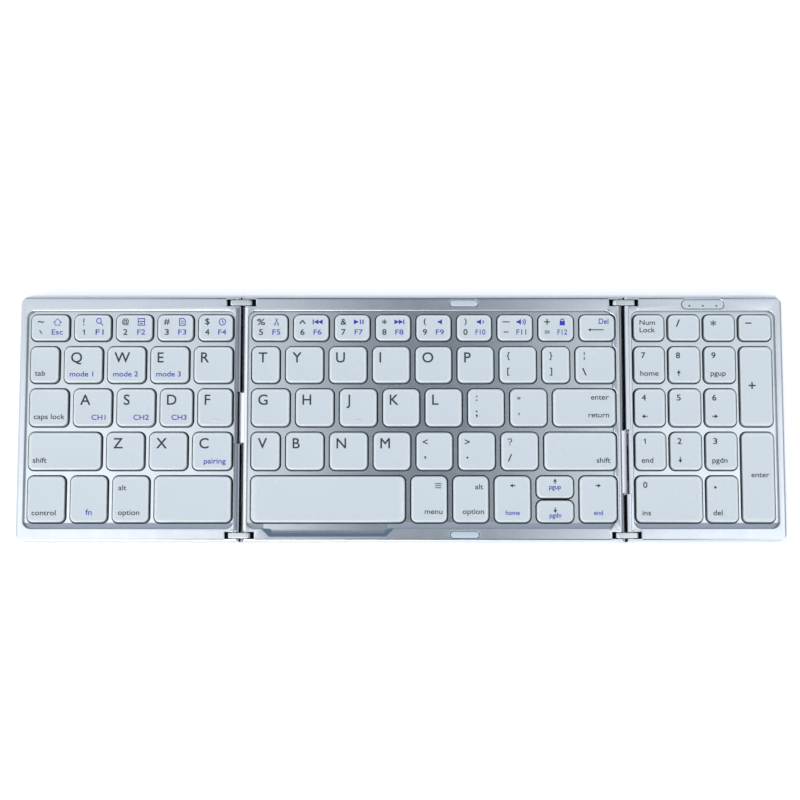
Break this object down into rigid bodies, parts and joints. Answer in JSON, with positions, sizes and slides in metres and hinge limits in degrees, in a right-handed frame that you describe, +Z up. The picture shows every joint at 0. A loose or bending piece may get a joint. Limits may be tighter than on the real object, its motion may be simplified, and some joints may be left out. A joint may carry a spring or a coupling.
{
  "type": "folding keyboard",
  "caption": "Slim computer keyboard in hinged panels whose wings fold in over the middle on two-pin links, with sprung low-travel keys and a number pad.",
  "frame": {"origin": "on the table below the middle of the opened keyboard", "axes": "+X to the user's right, +Y away from the user, +Z up"},
  "size_m": [0.3046, 0.098, 0.0084],
  "materials": {
    "rim": "satin silver, fine bead blast",
    "key_web": "satin silver",
    "cover": "brushed satin silver",
    "keycap": "pale cool white, satin",
    "plate": "plain steel sheet",
    "dome": "milky silicone",
    "lever": "white",
    "link": "bright satin",
    "pin": "ground",
    "screw": "plated",
    "magnet": "nickel plated",
    "foot": "matt",
    "pad": "pale, matt",
    "flex": "polyimide amber",
    "cell": "foil pouch",
    "board": "green solder mask",
    "socket": "drawn steel shell",
    "window": "milky clear"
  },
  "bodies": {
    "center": {"center_frame": "rim", "center_deck": "key_web", "center_bottom_cover": "cover", "center_switch_plate": "plate", "center_domes": "dome", "center_scissors": "lever", "battery": "cell", "bumper_pads": "pad", "center_feet": "foot", "center_screws": "screw", "left_flex_cable": "flex", "right_flex_cable": "flex"},
    "left_link": {"left_links": "link", "left_hinge_pins": "pin"},
    "left_wing": {"left_frame": "rim", "left_deck": "key_web", "left_bottom_cover": "cover", "left_switch_plate": "plate", "left_domes": "dome", "left_scissors": "lever", "left_feet": "foot", "left_screws": "screw", "left_magnets": "magnet"},
    "right_link": {"right_links": "link", "right_hinge_pins": "pin"},
    "right_wing": {"right_frame": "rim", "right_deck": "key_web", "right_bottom_cover": "cover", "right_switch_plate": "plate", "right_domes": "dome", "right_scissors": "lever", "main_board": "board", "charge_socket": "socket", "indicator_window": "window", "right_feet": "foot", "right_screws": "screw", "right_magnets": "magnet"},
    "keys_number_left": {"keys_number_left": "keycap"},
    "key_tab": {"key_tab": "keycap"},
    "keys_upper_left": {"keys_upper_left": "keycap"},
    "key_caps_lock": {"key_caps_lock": "keycap"},
    "keys_home_left": {"keys_home_left": "keycap"},
    "key_shift_left": {"key_shift_left": "keycap"},
    "keys_lower_left": {"keys_lower_left": "keycap"},
    "keys_modifier_left": {"keys_modifier_left": "keycap"},
    "key_space_left": {"key_space_left": "keycap"},
    "keys_number_center": {"keys_number_center": "keycap"},
    "keys_upper_center": {"keys_upper_center": "keycap"},
    "keys_home_center": {"keys_home_center": "keycap"},
    "key_enter": {"key_enter": "keycap"},
    "keys_lower_center": {"keys_lower_center": "keycap"},
    "key_shift_right": {"key_shift_right": "keycap"},
    "key_space": {"key_space": "keycap"},
    "keys_modifier_right": {"keys_modifier_right": "keycap"},
    "keys_arrow": {"keys_arrow": "keycap"},
    "keys_pad_top": {"keys_pad_top": "keycap"},
    "keys_pad_digits": {"keys_pad_digits": "keycap"},
    "key_pad_plus": {"key_pad_plus": "keycap"},
    "key_pad_enter": {"key_pad_enter": "keycap"},
    "keys_pad_bottom": {"keys_pad_bottom": "keycap"}
  },
  "joints": [
    {"name": "left_link_hinge", "type": "hinge", "parent": "center", "child": "left_link", "pos_m": [-0.06112, 0, 0.0057], "axis": [0, 1, 0], "range_deg": [0, 90], "deforming": ["left_flex_cable"]},
    {"name": "left_wing_hinge", "type": "hinge", "parent": "left_link", "child": "left_wing", "pos_m": [-0.06632, 0, 0.0057], "axis": [0, 1, 0], "range_deg": [0, 90]},
    {"name": "right_link_hinge", "type": "hinge", "parent": "center", "child": "right_link", "pos_m": [0.08622, 0, 0.0057], "axis": [0, -1, 0], "range_deg": [0, 90], "deforming": ["right_flex_cable"]},
    {"name": "right_wing_hinge", "type": "hinge", "parent": "right_link", "child": "right_wing", "pos_m": [0.09143, 0, 0.0057], "axis": [0, -1, 0], "range_deg": [0, 90]},
    {"name": "keys_number_left_press", "type": "slide", "parent": "left_wing", "child": "keys_number_left", "axis": [0, 0, -1], "range_m": [0, 0.0012], "stiffness_N_per_m": 2000, "springref_m": -0.0005, "deforming": ["left_domes", "left_scissors"]},
    {"name": "key_tab_press", "type": "slide", "parent": "left_wing", "child": "key_tab", "axis": [0, 0, -1], "range_m": [0, 0.0012], "stiffness_N_per_m": 400, "springref_m": -0.0005, "deforming": ["left_domes", "left_scissors"]},
    {"name": "keys_upper_left_press", "type": "slide", "parent": "left_wing", "child": "keys_upper_left", "axis": [0, 0, -1], "range_m": [0, 0.0012], "stiffness_N_per_m": 1600, "springref_m": -0.0005, "deforming": ["left_domes", "left_scissors"]},
    {"name": "key_caps_lock_press", "type": "slide", "parent": "left_wing", "child": "key_caps_lock", "axis": [0, 0, -1], "range_m": [0, 0.0012], "stiffness_N_per_m": 400, "springref_m": -0.0005, "deforming": ["left_domes", "left_scissors"]},
    {"name": "keys_home_left_press", "type": "slide", "parent": "left_wing", "child": "keys_home_left", "axis": [0, 0, -1], "range_m": [0, 0.0012], "stiffness_N_per_m": 1600, "springref_m": -0.0005, "deforming": ["left_domes", "left_scissors"]},
    {"name": "key_shift_left_press", "type": "slide", "parent": "left_wing", "child": "key_shift_left", "axis": [0, 0, -1], "range_m": [0, 0.0012], "stiffness_N_per_m": 400, "springref_m": -0.0005, "deforming": ["left_domes", "left_scissors"]},
    {"name": "keys_lower_left_press", "type": "slide", "parent": "left_wing", "child": "keys_lower_left", "axis": [0, 0, -1], "range_m": [0, 0.0012], "stiffness_N_per_m": 1200, "springref_m": -0.0005, "deforming": ["left_domes", "left_scissors"]},
    {"name": "keys_modifier_left_press", "type": "slide", "parent": "left_wing", "child": "keys_modifier_left", "axis": [0, 0, -1], "range_m": [0, 0.0012], "stiffness_N_per_m": 1200, "springref_m": -0.0005, "deforming": ["left_domes", "left_scissors"]},
    {"name": "key_space_left_press", "type": "slide", "parent": "left_wing", "child": "key_space_left", "axis": [0, 0, -1], "range_m": [0, 0.0012], "stiffness_N_per_m": 400, "springref_m": -0.0005, "deforming": ["left_domes", "left_scissors"]},
    {"name": "keys_number_center_press", "type": "slide", "parent": "center", "child": "keys_number_center", "axis": [0, 0, -1], "range_m": [0, 0.0012], "stiffness_N_per_m": 3600, "springref_m": -0.0005, "deforming": ["center_domes", "center_scissors"]},
    {"name": "keys_upper_center_press", "type": "slide", "parent": "center", "child": "keys_upper_center", "axis": [0, 0, -1], "range_m": [0, 0.0012], "stiffness_N_per_m": 3600, "springref_m": -0.0005, "deforming": ["center_domes", "center_scissors"]},
    {"name": "keys_home_center_press", "type": "slide", "parent": "center", "child": "keys_home_center", "axis": [0, 0, -1], "range_m": [0, 0.0012], "stiffness_N_per_m": 2800, "springref_m": -0.0005, "deforming": ["center_domes", "center_scissors"]},
    {"name": "key_enter_press", "type": "slide", "parent": "center", "child": "key_enter", "axis": [0, 0, -1], "range_m": [0, 0.0012], "stiffness_N_per_m": 400, "springref_m": -0.0005, "deforming": ["center_domes", "center_scissors"]},
    {"name": "keys_lower_center_press", "type": "slide", "parent": "center", "child": "keys_lower_center", "axis": [0, 0, -1], "range_m": [0, 0.0012], "stiffness_N_per_m": 2800, "springref_m": -0.0005, "deforming": ["center_domes", "center_scissors"]},
    {"name": "key_shift_right_press", "type": "slide", "parent": "center", "child": "key_shift_right", "axis": [0, 0, -1], "range_m": [0, 0.0012], "stiffness_N_per_m": 400, "springref_m": -0.0005, "deforming": ["center_domes", "center_scissors"]},
    {"name": "key_space_press", "type": "slide", "parent": "center", "child": "key_space", "axis": [0, 0, -1], "range_m": [0, 0.0012], "stiffness_N_per_m": 400, "springref_m": -0.0005, "deforming": ["center_domes", "center_scissors"]},
    {"name": "keys_modifier_right_press", "type": "slide", "parent": "center", "child": "keys_modifier_right", "axis": [0, 0, -1], "range_m": [0, 0.0012], "stiffness_N_per_m": 800, "springref_m": -0.0005, "deforming": ["center_domes", "center_scissors"]},
    {"name": "keys_arrow_press", "type": "slide", "parent": "center", "child": "keys_arrow", "axis": [0, 0, -1], "range_m": [0, 0.0012], "stiffness_N_per_m": 1600, "springref_m": -0.0005, "deforming": ["center_domes", "center_scissors"]},
    {"name": "keys_pad_top_press", "type": "slide", "parent": "right_wing", "child": "keys_pad_top", "axis": [0, 0, -1], "range_m": [0, 0.0012], "stiffness_N_per_m": 1600, "springref_m": -0.0005, "deforming": ["right_domes", "right_scissors"]},
    {"name": "keys_pad_digits_press", "type": "slide", "parent": "right_wing", "child": "keys_pad_digits", "axis": [0, 0, -1], "range_m": [0, 0.0012], "stiffness_N_per_m": 3600, "springref_m": -0.0005, "deforming": ["right_domes", "right_scissors"]},
    {"name": "key_pad_plus_press", "type": "slide", "parent": "right_wing", "child": "key_pad_plus", "axis": [0, 0, -1], "range_m": [0, 0.0012], "stiffness_N_per_m": 400, "springref_m": -0.0005, "deforming": ["right_domes", "right_scissors"]},
    {"name": "key_pad_enter_press", "type": "slide", "parent": "right_wing", "child": "key_pad_enter", "axis": [0, 0, -1], "range_m": [0, 0.0012], "stiffness_N_per_m": 400, "springref_m": -0.0005, "deforming": ["right_domes", "right_scissors"]},
    {"name": "keys_pad_bottom_press", "type": "slide", "parent": "right_wing", "child": "keys_pad_bottom", "axis": [0, 0, -1], "range_m": [0, 0.0012], "stiffness_N_per_m": 800, "springref_m": -0.0005, "deforming": ["right_domes", "right_scissors"]}
  ],
  "couplings": [
    {"joint": "left_wing_hinge", "follows": "left_link_hinge", "ratio": 1},
    {"joint": "right_wing_hinge", "follows": "right_link_hinge", "ratio": 1}
  ]
}
